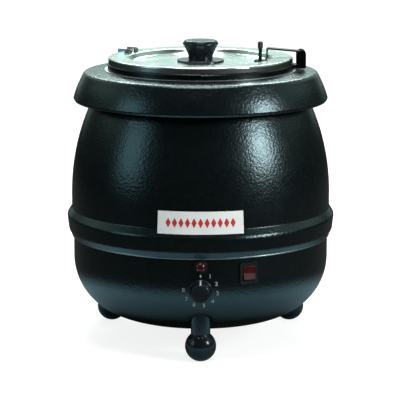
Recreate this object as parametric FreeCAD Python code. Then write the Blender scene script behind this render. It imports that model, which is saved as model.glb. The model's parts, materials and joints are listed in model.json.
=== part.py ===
import FreeCAD, Part
import math
import os

# Soup kettle, about 10 litres, in millimetres.
# The origin is on the table under the kettle's axis. +Z is up, the controls face -Y
# and the lid's hinge is on the +X side.

Vector = FreeCAD.Vector
UP = Vector(0, 0, 1)

# Fits and gaps
slip = 0.2
rest_gap = 0.3
running_fit = 0.05
press_gap = 0.02
contact_gap = 0.05
screw_play = 0.3
cut_past = 1.0

# Sheet thicknesses
shell_wall = 1.2
well_wall = 1.0
pot_wall = 1.0
ring_wall = 1.2
lid_wall = 1.0

# Base bowl
base_radius = 162.5
base_floor = 29.4
base_corner = 76.0
base_lap = 11.0
service_hole_radius = 66.0

# Belly with the rolled bead at its lower edge
edge_level = 133.0
bead_bulge = 8.1
bead_rise = 27.0
bead_draft = 2.0
bead_foot = 9.0
bead_foot_round = 8.0
bead_round = 6.0
crease_rise = 9.5
crease_round = 2.0
belly_bulge = 2.0
belly_rise = 16.5
neck_width = 26.1
neck_drop = 7.5
neck_round = 3.0

# Collar
collar_top = 344.0
collar_depth = 42.5
collar_wall = 3.0
collar_play = 0.6
shoulder_width = 26.0
shoulder_drop = 3.0
shoulder_round = 6.0
skirt_flare = 13.6
skirt_drop = 35.7
skirt_lip = 3.1
skirt_tuck = 2.0
skirt_round = 2.0
skirt_bow = 9.0
skirt_bow_drop = 21.5
skirt_bow_round = 100.0
collar_lip_round = 1.0
collar_screw_inset = 10.6
collar_screw_count = 4
collar_screw_angle = 45.0
collar_boss_radius = 5.0

# Water bath and its seal
jacket_gap = 48.5
well_floor = 94.0
well_floor_round = 14.0
well_mouth_round = 2.0
well_flange = 7.2
well_play = 1.5
land_play = 0.4
gasket_thickness = 1.0
gasket_inset = 1.0

# Soup pot
pot_gap = 8.0
pot_floor_gap = 8.0
pot_floor_round = 16.0
rim_width = 9.8
rim_height = 6.0
rim_round = 2.0
pot_mouth_round = 3.0

# Ring that carries the lid
ring_play = 0.8
ring_round = 1.6
ring_skirt = 7.0

# Lid
lid_inset = 1.3
lid_height = 7.5
lid_round = 2.0
pan_inset = 29.5
pan_slope = 4.0
pan_depth = 6.0
pan_round = 2.5
notch_angle = 152.0
notch_width = 22.0
notch_inset = 2.5
notch_lip_wall = 1.2
notch_lip_height = 5.0

# Lid knob
knob_plate_radius = 29.7
knob_plate_thickness = 2.6
knob_plate_round = 1.0
knob_height = 24.7
knob_foot_radius = 15.2
knob_waist_radius = 15.6
knob_waist_height = 6.0
knob_waist_round = 18.0
knob_cap_radius = 22.9
knob_cap_height = 20.0
knob_cap_round = 2.5
knob_crown_radius = 20.2
knob_crown_height = 24.2
knob_crown_round = 2.5
knob_screw_radius = 2.5
knob_screw_head_radius = 5.0
knob_screw_depth = 15.0

# Hinge
hinge_reach = 9.2
hinge_rise = 3.2
pin_radius = 2.5
pin_head_radius = 3.6
pin_head_height = 1.4
knuckle_radius = 4.6
arm_width = 12.0
arm_thickness = 2.0
arm_rise = 11.7
arm_setback = 4.0
arm_foot = 15.0
arm_bend = 3.0
ear_play = 0.4
ear_thickness = 2.0
ear_radius = 6.0
ear_corner = 5.8
ear_foot_round = 1.0
bracket_gap = 1.0
web_thickness = 2.0
rivet_radius = 1.4
rivet_head_radius = 2.2
rivet_head_height = 1.1
rivet_spacing = 6.0
stud_radius = 2.4
stud_head_radius = 4.8
stud_rise = 17.2
stud_cap_radius = 3.3
stud_cap_height = 8.5
stud_cap_wall = 1.8

# Ball feet
foot_inset = 26.5
foot_radius = 19.2
foot_flat = 0.7
foot_neck_radius = 12.0
foot_fillet = 3.0
foot_first_angle = 30.0
foot_names = ("rear_right_foot", "rear_left_foot", "front_foot")
foot_screw_radius = 3.0
foot_screw_grip = 22.0
foot_screw_head_radius = 6.0
foot_screw_head_height = 4.4
foot_washer_radius = 9.0
foot_washer_rim = 2.0

# Service plate under the bowl
plate_thickness = 1.2
plate_lap = 8.0
plate_screw_count = 4
plate_screw_angle = 45.0
vent_count = 10
vent_circle = 44.0
vent_length = 22.0
vent_width = 4.0

# Studs that draw the bath, belly and bowl together
tie_play = 4.2
tie_count = 3
tie_angle = 30.0
tie_radius = 3.0
tie_tail = 9.0
tie_nut_half = 5.0
tie_nut_height = 6.0

# Heater under the bath
element_circle = 60.0
element_tube = 4.0
element_gap_angle = 30.0
element_leg = 26.0
element_bend = 8.0
element_plate_margin = 16.0
element_plate_thickness = 1.5
element_stud_gap = 8.0
element_stud_count = 3
element_stud_angle = 30.0
element_stud_radius = 2.0
element_stud_tail = 7.0
element_nut_half = 4.0
element_nut_height = 4.0
cutout_radius = 9.0
cutout_height = 14.0
cutout_window = 13.0
cutout_tab_thickness = 1.0
cutout_tab_width = 6.0
cutout_tab_length = 8.0
cutout_tab_spacing = 10.0

# Thermostat, its dial and its sensing bulb
dial_drop = 38.5
bushing_radius = 5.0
bushing_reach = 6.0
panel_nut_half = 7.5
panel_nut_height = 2.4
thermostat_width = 34.0
thermostat_height = 30.0
thermostat_depth = 26.0
spindle_radius = 3.0
spindle_reach = 17.0
spindle_depth = 20.0
dial_standoff = 1.2
dial_skirt_radius = 14.6
dial_skirt_height = 4.0
dial_grip_radius = 12.2
dial_top_radius = 11.2
dial_height = 19.0
dial_round = 1.6
dial_pocket_radius = 10.6
dial_flute_count = 12
dial_flute_radius = 1.5
dial_flute_depth = 1.0
bulb_radius = 3.0
bulb_length = 70.0
capillary_radius = 1.0
capillary_bend = 7.5
capillary_drop = 10.0

# Pilot lamp
lamp_drop = 9.2
lamp_bezel_radius = 8.2
lamp_bezel_height = 2.2
lamp_bezel_round = 0.8
lamp_barrel_radius = 6.4
lamp_barrel_depth = 22.0
lens_radius = 6.2
lens_seat = 0.8
lens_height = 6.2
lens_round = 4.6

# Rocker switch
switch_drop = 19.0
switch_angle = 21.0
rocker_width = 15.0
rocker_height = 16.8
rocker_gap = 1.0
rocker_side_gap = 0.4
rocker_end_rise = 4.2
rocker_middle_rise = 2.8
rocker_middle_round = 4.8
rocker_belly = 4.5
rocker_keel = 8.4
rocker_pivot_depth = 3.0
rocker_rest_angle = 7.0
rocker_edge = 0.8
trunnion_radius = 1.5
trunnion_reach = 1.2
bezel_margin = 2.0
bezel_height = 2.2
bezel_round = 1.6
switch_wall = 1.6
switch_depth = 20.0
switch_pocket_depth = 10.0

# Cable gland at the back and the terminal block
gland_drop = 19.0
gland_angle = 180.0
gland_hex = 11.0
gland_hex_height = 6.0
gland_dome_radius = 9.0
gland_dome_height = 20.2
gland_dome_round = 4.0
gland_thread_radius = 8.0
gland_thread_depth = 12.0
gland_bore_radius = 4.0
gland_nut_height = 4.0
block_width = 30.0
block_depth = 14.0
block_height = 15.0
block_channel = 3.0
block_ways = 3

# Screws
screw_radius = 2.0
screw_head_radius = 4.0
screw_head_height = 2.2
collar_screw_grip = 14.0
plate_screw_grip = 7.0

# Bath, collar and belly that follow from the sizes above
well_radius = base_radius - jacket_gap
well_outer = well_radius + well_wall
well_underside = well_floor - well_wall
collar_bore = well_outer + collar_play
land_radius = well_radius + well_flange + land_play
land_level = collar_top - gasket_thickness - well_wall
shoulder_radius = land_radius + shoulder_width
shoulder_level = collar_top - shoulder_drop
skirt_radius = shoulder_radius + skirt_flare
skirt_level = collar_top - skirt_drop
flange_level = collar_top - collar_depth
neck_radius = well_outer + well_play + neck_width
neck_level = flange_level - neck_drop
collar_screw_circle = neck_radius - collar_screw_inset
bead_radius = base_radius + bead_bulge
bead_level = edge_level + bead_rise
crease_level = bead_level + crease_rise
belly_radius = base_radius + belly_bulge
belly_level = crease_level + belly_rise

# Pot, lid and hinge that follow from the sizes above
pot_radius = well_radius - pot_gap
pot_floor = well_floor + pot_floor_gap + pot_wall
rim_radius = pot_radius + rim_width
rim_top = collar_top + rim_height
ring_radius = rim_radius + ring_play + ring_wall
ring_bore = pot_radius - ring_play - ring_wall
ring_top = rim_top + rest_gap + ring_wall
lid_radius = ring_radius - lid_inset
lid_bottom = ring_top + rest_gap
lid_level = lid_bottom + lid_height
pan_radius = lid_radius - pan_inset
pan_level = lid_level - pan_depth
pan_underside = pan_level - lid_wall
notch_inner_radius = pan_radius + pan_slope + notch_inset
knob_seat = pan_level + knob_plate_thickness
hinge_x = ring_radius + hinge_reach
hinge_level = lid_level + hinge_rise
ear_inner = arm_width / 2 + ear_play
ear_outer = ear_inner + ear_thickness
arm_top = lid_level + arm_rise
arm_corner = pan_radius - arm_setback
stud_x = arm_corner - arm_foot / 2
stud_top = lid_level + stud_rise

# Fittings of the base that follow from the sizes above
base_inside = base_floor + shell_wall
foot_circle = base_radius - foot_inset
foot_angles = {name: foot_first_angle + 120.0 * step for step, name in enumerate(foot_names)}
plate_radius = service_hole_radius + plate_lap
plate_screw_circle = service_hole_radius + plate_lap / 2
tie_circle = plate_radius + tie_nut_half / math.cos(math.radians(30)) + tie_play
element_stud_circle = element_circle + element_tube + element_stud_gap
element_plate_radius = element_circle + element_tube + element_plate_margin
element_plate_level = well_underside - 2 * element_tube - 2 * contact_gap
dial_level = edge_level - dial_drop
lamp_level = edge_level - lamp_drop
switch_level = edge_level - switch_drop
gland_level = edge_level - gland_drop
bulb_level = dial_level + capillary_bend + capillary_drop
rocker_rim = rocker_height / 2 + rocker_gap
rocker_cheek = rocker_width / 2 + rocker_side_gap


def line_of(corners, closed):
    """Edges in the XZ plane through corners (across, up, rounding), each corner cut by its own arc."""
    points = [Vector(corner[0], 0, corner[1]) for corner in corners]
    count = len(points)
    edges = []
    last = None
    first = None
    for index in range(count):
        at_end = not closed and index in (0, count - 1)
        rounding = 0 if at_end else corners[index][2]
        here = points[index]
        start = here
        end = here
        if rounding > 0:
            back = (points[index - 1] - here).normalize()
            ahead = (points[(index + 1) % count] - here).normalize()
            half = back.getAngle(ahead) / 2
            start = here + back * (rounding / math.tan(half))
            end = here + ahead * (rounding / math.tan(half))
            middle = here + (back + ahead).normalize() * (rounding / math.sin(half) - rounding)
        if last is not None and last.distanceToPoint(start) > 1e-6:
            edges.append(Part.makeLine(last, start))
        if rounding > 0:
            edges.append(Part.Arc(start, middle, end).toShape())
        first = start if first is None else first
        last = end
    if closed and last.distanceToPoint(first) > 1e-6:
        edges.append(Part.makeLine(last, first))
    return edges


def moved_left(corners, wall):
    """The same open line of corners moved to its left by a wall, with its roundings to match."""
    heading = []
    for start, end in zip(corners, corners[1:]):
        length = math.hypot(end[0] - start[0], end[1] - start[1])
        heading.append(((end[0] - start[0]) / length, (end[1] - start[1]) / length))
    moved = []
    for index, corner in enumerate(corners):
        before = heading[max(index - 1, 0)]
        after = heading[min(index, len(heading) - 1)]
        share = wall / (1 + before[0] * after[0] + before[1] * after[1])
        across = corner[0] - (before[1] + after[1]) * share
        up = corner[1] + (before[0] + after[0]) * share
        turn = before[0] * after[1] - before[1] * after[0]
        rounding = corner[2] - wall if turn > 0 else corner[2] + wall
        moved.append((across, up, max(rounding, 0) if corner[2] > 0 else 0))
    return moved


def face_of(corners):
    return Part.Face(Part.Wire(line_of(corners, True)))


def sheet_face(corners, wall):
    """Section of a bent sheet: a line of corners and the same line moved left by the wall."""
    ends = [(*corner[:2], 0) for corner in (corners[0], corners[-1])]
    outer = [ends[0], *corners[1:-1], ends[1]]
    return face_of(outer + moved_left(outer, wall)[::-1])


def turned(corners):
    return face_of(corners).revolve(Vector(0, 0, 0), UP, 360)


def turned_sheet(corners, wall):
    return sheet_face(corners, wall).revolve(Vector(0, 0, 0), UP, 360)


def disc(radius, bottom, top):
    return Part.makeCylinder(radius, top - bottom, Vector(0, 0, bottom))


def tube(outer, inner, bottom, top):
    return disc(outer, bottom, top).cut(disc(inner, bottom, top))


def block(width, depth, bottom, top):
    """Upright box centred on the axis."""
    return Part.makeBox(width, depth, top - bottom, Vector(-width / 2, -depth / 2, bottom))


def hexagon(half_width, bottom, top):
    """Hexagonal prism, half_width from its axis to each flat."""
    reach = half_width / math.cos(math.radians(30))
    corners = [Vector(reach, 0, bottom)]
    for side in range(1, 7):
        angle = math.radians(60 * side)
        corners.append(Vector(reach * math.cos(angle), reach * math.sin(angle), bottom))
    return Part.Face(Part.makePolygon(corners)).extrude(UP * (top - bottom))


def moved(shape, x=0.0, y=0.0, z=0.0):
    copy = shape.copy()
    copy.translate(Vector(x, y, z))
    return copy


def spun(shape, angle):
    copy = shape.copy()
    copy.rotate(Vector(0, 0, 0), UP, angle)
    return copy


def around(shape, circle, count, first=0.0):
    """Copies of a shape on a circle about the kettle's axis."""
    return [spun(moved(shape, circle), first + 360.0 * step / count) for step in range(count)]


def on_wall(shape, level, turn=0.0):
    """Seats a shape built upright on the outside of the base wall: its +Z points out, its +Y up."""
    copy = shape.copy()
    copy.rotate(Vector(0, 0, 0), Vector(1, 0, 0), 90)
    copy.translate(Vector(0, -base_radius, level))
    return spun(copy, turn)


def mirrored(shape):
    return shape.mirror(Vector(0, 0, 0), Vector(0, 1, 0))


def along_y(shape):
    """Lays a shape built along Z on its side, along Y."""
    copy = shape.copy()
    copy.rotate(Vector(0, 0, 0), Vector(1, 0, 0), 90)
    return copy


def fused(shapes):
    return shapes[0].multiFuse(shapes[1:]).removeSplitter()


def export(name, shapes):
    """Writes one piece, or a group of like pieces, as one file."""
    shape = shapes[0] if len(shapes) == 1 else Part.makeCompound(shapes)
    shape.exportStep("parts/" + name + ".step")
    print(name, len(shape.Solids), "solids", round(shape.Volume / 1000.0, 2), "cm3")


def bowl_block(inset):
    """Solid filled bowl, smaller than the base by an even inset."""
    return turned([
        (0, base_floor + inset, 0),
        (base_radius - inset, base_floor + inset, base_corner - inset),
        (base_radius - inset, edge_level, 0),
        (0, edge_level, 0),
    ])


def bowl_inside_level(radius):
    """Height of the bowl's inner face at a radius on its rounded corner."""
    inner_corner = base_corner - shell_wall
    run = radius - (base_radius - base_corner)
    return base_floor + base_corner - math.sqrt(inner_corner ** 2 - run ** 2)


def bowl_radius(level, inset):
    """Radius of the bowl's wall at a level, on a face set in from its outside."""
    drop = max(base_floor + base_corner - level, 0.0)
    return base_radius - base_corner + math.sqrt((base_corner - inset) ** 2 - drop ** 2)


def flat_depth(half_width, level):
    """How far behind the widest radius a flat face of this half width lies inside the wall at a level."""
    inside = bowl_radius(level, shell_wall)
    return base_radius - math.sqrt(inside ** 2 - half_width ** 2) + contact_gap


def make_base_bowl():
    bowl = turned_sheet([
        (service_hole_radius, base_floor, 0),
        (base_radius, base_floor, base_corner),
        (base_radius, edge_level + base_lap, 0),
    ], shell_wall)
    deep = bowl_radius(dial_level - bushing_radius, shell_wall) - base_radius - cut_past
    wall_holes = [
        on_wall(disc(bushing_radius + slip, deep, cut_past), dial_level),
        on_wall(disc(lamp_barrel_radius + slip, deep, cut_past), lamp_level),
        on_wall(disc(gland_thread_radius + slip, deep, cut_past), gland_level, gland_angle),
        on_wall(switch_block(slip, deep, cut_past), switch_level, switch_angle),
    ]
    tie_hole = disc(tie_radius + screw_play, base_floor - shell_wall, base_inside + shell_wall)
    plate_hole = disc(screw_radius + press_gap, base_floor - shell_wall, base_inside + shell_wall)
    foot_hole = disc(foot_screw_radius + screw_play, 0, foot_washer_top())
    holes = wall_holes + around(tie_hole, tie_circle, tie_count, tie_angle)
    holes += around(plate_hole, plate_screw_circle, plate_screw_count, plate_screw_angle)
    holes += [spun(moved(foot_hole, foot_circle), angle) for angle in foot_angles.values()]
    export("base_bowl", [bowl.cut(holes)])


def make_body_shell():
    run = belly_radius - neck_radius
    rise = neck_level - belly_level
    belly_arc = (run ** 2 + rise ** 2) / (2 * run)
    belly_corner = belly_level + (run ** 2 + rise ** 2) / (2 * rise)
    lean = 2 * math.atan(run / rise)
    neck_corner = neck_radius - (flange_level - neck_level) * math.tan(lean)
    shell = turned_sheet([
        (base_radius + slip + shell_wall, edge_level, 0),
        (bead_radius - bead_draft, edge_level + bead_foot, bead_foot_round),
        (bead_radius, bead_level, bead_round),
        (belly_radius, crease_level, crease_round),
        (belly_radius, belly_corner, belly_arc),
        (neck_corner, flange_level, neck_round),
        (well_outer + well_play, flange_level, 0),
    ], shell_wall)
    hole = disc(screw_radius + screw_play, flange_level - 2 * shell_wall, flange_level + shell_wall)
    holes = around(hole, collar_screw_circle, collar_screw_count, collar_screw_angle)
    export("body_shell", [shell.cut(holes)])


def make_collar():
    shell = turned_sheet([
        (skirt_radius - skirt_tuck, skirt_level - skirt_lip, 0),
        (skirt_radius, skirt_level, skirt_round),
        (shoulder_radius + skirt_bow, collar_top - skirt_bow_drop, skirt_bow_round),
        (shoulder_radius, shoulder_level, shoulder_round),
        (land_radius, collar_top, collar_lip_round),
        (land_radius, land_level, 0),
        (collar_bore, land_level, 0),
        (collar_bore, flange_level, 0),
    ], collar_wall)
    boss = disc(collar_boss_radius, flange_level, shoulder_level)
    bore = disc(screw_radius + press_gap, flange_level, flange_level + collar_screw_grip)
    bosses = around(boss, collar_screw_circle, collar_screw_count, collar_screw_angle)
    bores = around(bore, collar_screw_circle, collar_screw_count, collar_screw_angle)
    export("collar_ring", [fused([shell, *bosses]).cut(bores)])
    head_top = flange_level - shell_wall
    screw = fused([
        disc(screw_head_radius, head_top - screw_head_height, head_top),
        disc(screw_radius, head_top, flange_level + collar_screw_grip),
    ])
    export("collar_screws", around(screw, collar_screw_circle, collar_screw_count, collar_screw_angle))


def make_water_bath():
    export("water_well", [turned_sheet([
        (well_radius + well_flange, collar_top, 0),
        (well_radius, collar_top, well_mouth_round),
        (well_radius, well_floor, well_floor_round),
        (0, well_floor, 0),
    ], well_wall)])
    seal_top = land_level + gasket_thickness
    seal = tube(well_radius + well_flange, collar_bore + gasket_inset, land_level, seal_top)
    export("well_gasket", [seal])


def make_soup_pot():
    export("soup_pot", [turned_sheet([
        (rim_radius, collar_top + rest_gap, 0),
        (rim_radius, rim_top, rim_round),
        (pot_radius, rim_top, pot_mouth_round),
        (pot_radius, pot_floor, pot_floor_round),
        (0, pot_floor, 0),
    ], pot_wall)])


def make_lid_ring():
    web_top = ring_top - ring_round
    web_bottom = collar_top + bracket_gap
    rivet_level = (web_top + web_bottom) / 2
    ring = turned_sheet([
        (ring_radius, collar_top + 2 * rest_gap, 0),
        (ring_radius, ring_top, ring_round),
        (ring_bore, ring_top, ring_round),
        (ring_bore, ring_top - ring_skirt, 0),
    ], ring_wall)
    rivet_start = ring_radius - ring_wall + rest_gap
    rivet_end = ring_radius + web_thickness
    rivet = fused([
        disc(rivet_radius, rivet_start, rivet_end),
        disc(rivet_head_radius, rivet_end, rivet_end + rivet_head_height),
    ])
    rivets = rivet_pair(rivet, rivet_level)
    holes = rivet_pair(disc(rivet_radius + press_gap, rim_radius, rivet_end + cut_past), rivet_level)
    export("lid_ring", [ring.cut(holes)])
    export("bracket_rivets", rivets)

    web = Part.makeBox(
        web_thickness + ring_wall, 2 * ear_outer, web_top - web_bottom,
        Vector(ring_radius - ring_wall, -ear_outer, web_bottom))
    ear_top = hinge_level + ear_radius
    ear_face = face_of([
        (ring_radius - ring_wall, web_bottom, 0),
        (hinge_x + ear_radius, web_bottom, ear_foot_round),
        (hinge_x + ear_radius, ear_top, ear_corner),
        (hinge_x - ear_radius, ear_top, ear_corner),
        (hinge_x - ear_radius, web_top, 0),
        (ring_radius - ring_wall, web_top, 0),
    ])
    ears = []
    for start in (-ear_outer, ear_inner):
        ears.append(moved(ear_face.extrude(Vector(0, ear_thickness, 0)), 0, start))
    pin_hole = along_y(disc(pin_radius + press_gap, -ear_outer - cut_past, ear_outer + cut_past))
    pin_hole = moved(pin_hole, hinge_x, 0, hinge_level)
    bracket = fused([web, *ears]).cut([disc(ring_radius, web_bottom, ear_top), pin_hole, *holes])
    export("hinge_bracket", [bracket])

    heads = [
        disc(pin_head_radius, ear_outer, ear_outer + pin_head_height),
        disc(pin_head_radius, -ear_outer - pin_head_height, -ear_outer),
    ]
    pin = fused([disc(pin_radius, -ear_outer, ear_outer), *heads])
    export("hinge_pin", [moved(along_y(pin), hinge_x, 0, hinge_level)])


def rivet_pair(shape, level):
    """Two copies of a shape built upright, laid outwards along X side by side."""
    laid = shape.copy()
    laid.rotate(Vector(0, 0, 0), Vector(0, 1, 0), 90)
    return [moved(laid, 0, side * rivet_spacing / 2, level) for side in (-1, 1)]


def notch_block(width, bottom, top):
    """Slot with a round inner end, open at the lid's rim."""
    centre = notch_inner_radius + notch_width / 2
    round_end = moved(disc(width / 2, bottom, top), centre)
    straight = moved(block(2 * lid_radius, width, bottom, top), centre + lid_radius)
    return spun(fused([round_end, straight]), notch_angle)


def make_lid():
    panel = turned_sheet([
        (lid_radius, lid_bottom, 0),
        (lid_radius, lid_level, lid_round),
        (pan_radius + pan_slope, lid_level, pan_round),
        (pan_radius, pan_level, pan_round),
        (0, pan_level, 0),
    ], lid_wall)
    lip_top = lid_level + notch_lip_height
    lip = notch_block(notch_width + 2 * notch_lip_wall, lid_level - lid_wall, lip_top)
    lip = lip.common(disc(lid_radius - lid_round, lid_bottom, lip_top))
    panel = fused([panel, lip]).cut(notch_block(notch_width, lid_bottom - cut_past, lip_top + cut_past))
    knob_hole = disc(knob_screw_radius + screw_play, pan_underside - cut_past, pan_level + cut_past)
    stud_hole = disc(stud_radius + press_gap, pan_underside - cut_past, pan_level + cut_past)
    export("lid_panel", [panel.cut([knob_hole, moved(stud_hole, stud_x)])])


def make_lid_knob():
    plate = turned([
        (0, pan_level, 0),
        (knob_plate_radius, pan_level, 0),
        (knob_plate_radius, knob_seat, knob_plate_round),
        (0, knob_seat, 0),
    ])
    knob = turned([
        (0, knob_seat, 0),
        (knob_foot_radius, knob_seat, 0),
        (knob_waist_radius, knob_seat + knob_waist_height, knob_waist_round),
        (knob_cap_radius, knob_seat + knob_cap_height, knob_cap_round),
        (knob_crown_radius, knob_seat + knob_crown_height, knob_crown_round),
        (0, knob_seat + knob_height, 0),
    ])
    screw_top = knob_seat + knob_screw_depth
    screw = fused([
        disc(knob_screw_head_radius, pan_underside - screw_head_height, pan_underside),
        disc(knob_screw_radius, pan_underside, screw_top),
    ])
    bore = disc(knob_screw_radius + press_gap, pan_level - cut_past, screw_top)
    export("knob_plate", [plate.cut(bore)])
    export("lid_knob", [knob.cut(bore)])
    export("knob_screw", [screw])


def make_hinge_arm():
    start = hinge_level + knuckle_radius
    strap = sheet_face([
        (hinge_x, start, 0),
        (arm_corner, arm_top, arm_bend),
        (arm_corner, pan_level + arm_thickness, arm_bend),
        (arm_corner - arm_foot, pan_level + arm_thickness, 0),
    ], arm_thickness).extrude(Vector(0, arm_width, 0))
    knuckle = along_y(disc(knuckle_radius, -arm_width / 2, arm_width / 2))
    bore = along_y(disc(pin_radius + running_fit, -arm_width, arm_width))
    stud_hole = moved(disc(stud_radius + press_gap, pan_level - cut_past, arm_top), stud_x)
    arm = fused([moved(strap, 0, -arm_width / 2), moved(knuckle, hinge_x, 0, hinge_level)])
    arm = arm.cut([moved(bore, hinge_x, 0, hinge_level), stud_hole])
    export("hinge_arm", [arm])

    stud = fused([
        disc(stud_head_radius, pan_underside - screw_head_height, pan_underside),
        disc(stud_radius, pan_underside, stud_top),
    ])
    export("arm_stud", [moved(stud, stud_x)])
    cap_top = stud_top + stud_cap_wall
    cap = turned([
        (0, cap_top - stud_cap_height, 0),
        (stud_cap_radius, cap_top - stud_cap_height, 0),
        (stud_cap_radius, cap_top, stud_cap_wall),
        (0, cap_top, 0),
    ]).cut(disc(stud_radius + press_gap, cap_top - stud_cap_height - cut_past, stud_top))
    export("stud_cap", [moved(cap, stud_x)])


def foot_washer_top():
    """Level top of the bevel washer, which fills the bowl's slope under a foot screw's head."""
    return bowl_inside_level(foot_circle + foot_washer_radius) + foot_washer_rim


def make_feet():
    ball_centre = foot_radius - foot_flat
    ball = Part.makeSphere(foot_radius, Vector(0, 0, ball_centre))
    ball = ball.cut(disc(2 * foot_radius, -foot_radius, 0))
    neck_top = bowl_inside_level(foot_circle + foot_neck_radius)
    foot = fused([ball, disc(foot_neck_radius, ball_centre, neck_top)])
    waist = ball_centre + math.sqrt(foot_radius ** 2 - foot_neck_radius ** 2)
    waist_edges = [
        edge for edge in foot.Edges
        if abs(edge.BoundBox.ZMin - waist) < 0.01 and abs(edge.BoundBox.ZMax - waist) < 0.01
    ]
    foot = foot.makeFillet(foot_fillet, waist_edges)
    head_seat = foot_washer_top()
    screw_tip = bowl_inside_level(foot_circle - foot_neck_radius) - foot_screw_grip
    foot = foot.cut(disc(foot_screw_radius + press_gap, screw_tip, neck_top))
    bowl = bowl_block(0.0)
    for name, angle in foot_angles.items():
        export(name, [spun(moved(foot, foot_circle), angle).cut(bowl)])

    hollow = bowl_block(shell_wall)
    washer = tube(foot_washer_radius, foot_screw_radius + screw_play, base_floor, head_seat)
    screw = fused([
        disc(foot_screw_radius, screw_tip, head_seat),
        disc(foot_screw_head_radius, head_seat, head_seat + foot_screw_head_height),
    ])
    places = foot_angles.values()
    export("foot_washers", [spun(moved(washer, foot_circle), angle).common(hollow) for angle in places])
    export("foot_screws", [spun(moved(screw, foot_circle), angle) for angle in places])


def make_service_plate():
    underside = base_floor - plate_thickness
    plate = disc(plate_radius, underside, base_floor)
    slot = fused([
        block(vent_length, vent_width, underside, base_floor),
        moved(disc(vent_width / 2, underside, base_floor), vent_length / 2),
        moved(disc(vent_width / 2, underside, base_floor), -vent_length / 2),
    ])
    hole = disc(screw_radius + screw_play, underside, base_floor)
    holes = around(slot, vent_circle, vent_count)
    holes += around(hole, plate_screw_circle, plate_screw_count, plate_screw_angle)
    export("bottom_plate", [plate.cut(holes)])
    screw = fused([
        disc(screw_head_radius, underside - screw_head_height, underside),
        disc(screw_radius, underside, underside + plate_screw_grip),
    ])
    export("bottom_screws", around(screw, plate_screw_circle, plate_screw_count, plate_screw_angle))


def make_tie_studs():
    stud = disc(tie_radius, base_floor - tie_tail, well_underside)
    nut = hexagon(tie_nut_half, base_floor - tie_nut_height, base_floor)
    nut = nut.cut(disc(tie_radius + press_gap, base_floor - tie_nut_height, base_floor))
    export("tie_studs", around(stud, tie_circle, tie_count, tie_angle))
    export("tie_nuts", around(nut, tie_circle, tie_count, tie_angle))


def make_heater():
    centre = well_underside - element_tube - contact_gap
    sweep = 360.0 - element_gap_angle
    start = Vector(element_circle, 0, centre)
    heading = Vector(0, 1, 0)
    ring = Part.makeCircle(element_circle, Vector(0, 0, centre), UP, 0, sweep)
    foot = start - heading * element_bend - UP * element_leg
    knee = start - heading * element_bend - UP * element_bend
    diagonal = element_bend * math.sqrt(0.5)
    middle = start - heading * diagonal - UP * (element_bend - diagonal)
    elbow = Part.Arc(knee, middle, start).toShape()
    far_edges = [spun(mirrored(edge), sweep) for edge in (elbow, Part.makeLine(foot, knee))]
    route = Part.Wire([Part.makeLine(foot, knee), elbow, ring, *far_edges])
    section = Part.Wire(Part.makeCircle(element_tube, foot, UP))
    element = route.makePipeShell([section], True, False)
    facing_back = 90.0 + element_gap_angle / 2
    export("heating_element", [spun(element, facing_back)])

    plate_bottom = element_plate_level - element_plate_thickness
    plate = disc(element_plate_radius, plate_bottom, element_plate_level)
    window = disc(cutout_window, plate_bottom, element_plate_level)
    half_gap = math.radians(element_gap_angle / 2)
    notch_start = element_circle * math.cos(half_gap) - element_tube - element_bend
    notch = moved(block(
        2 * (element_circle * math.sin(half_gap) + element_tube + screw_play), element_plate_radius,
        plate_bottom, element_plate_level), 0, notch_start + element_plate_radius / 2)
    stud_hole = disc(element_stud_radius + screw_play, plate_bottom, element_plate_level)
    stud_holes = around(stud_hole, element_stud_circle, element_stud_count, element_stud_angle)
    tie_hole = disc(tie_radius + screw_play, plate_bottom, element_plate_level)
    tie_holes = around(tie_hole, tie_circle, tie_count, tie_angle)
    export("element_plate", [plate.cut([window, notch, *stud_holes, *tie_holes])])
    stud = disc(element_stud_radius, plate_bottom - element_stud_tail, well_underside)
    nut = hexagon(element_nut_half, plate_bottom - element_nut_height, plate_bottom)
    nut = nut.cut(disc(element_stud_radius + press_gap, plate_bottom - element_nut_height, plate_bottom))
    export("element_studs", around(stud, element_stud_circle, element_stud_count, element_stud_angle))
    export("element_nuts", around(nut, element_stud_circle, element_stud_count, element_stud_angle))

    can_bottom = well_underside - cutout_height
    can = disc(cutout_radius, can_bottom, well_underside)
    tab = block(cutout_tab_thickness, cutout_tab_width, can_bottom - cutout_tab_length, can_bottom)
    tabs = [moved(tab, side * cutout_tab_spacing / 2) for side in (-1, 1)]
    export("thermal_cutout", [fused([can, *tabs])])


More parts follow.
